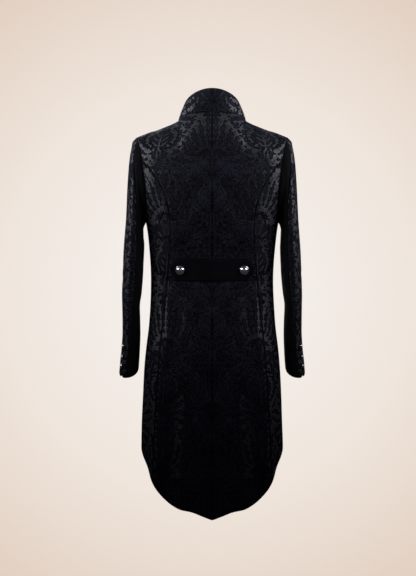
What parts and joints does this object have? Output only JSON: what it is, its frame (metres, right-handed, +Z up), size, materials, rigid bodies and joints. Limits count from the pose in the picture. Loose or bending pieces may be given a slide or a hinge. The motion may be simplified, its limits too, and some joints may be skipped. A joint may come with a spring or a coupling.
{
  "type": "tailcoat",
  "caption": "High-collared tailcoat in dark damask with a plain velvet half belt and domed metal buttons, hanging open as if worn, with nobody in it.",
  "frame": {"origin": "middle of the neck opening, in the centre plane and level with the points where the shoulder seams meet the collar", "axes": "+Z up as worn, -Y out of the wearer's chest, +X to the wearer's left"},
  "size_m": [0.5126, 0.2502, 1.1685],
  "materials": {
    "damask": "black woven damask, satin figures on a velvety ground",
    "velvet": "plain black velvet",
    "metal": "polished silver-coloured metal"
  },
  "bodies": {
    "root": {"back_left": "damask", "back_right": "damask", "side_back_left": "damask", "side_back_right": "damask", "front_left": "damask", "front_right": "damask", "top_sleeve_left": "damask", "top_sleeve_right": "damask", "under_sleeve_left": "velvet", "under_sleeve_right": "velvet", "collar": "damask", "half_belt": "velvet", "belt_button_left": "metal", "belt_button_right": "metal", "cuff_button_left_1": "metal", "cuff_button_left_2": "metal", "cuff_button_left_3": "metal", "cuff_button_right_1": "metal", "cuff_button_right_2": "metal", "cuff_button_right_3": "metal", "front_button": "metal"}
  },
  "joints": []
}
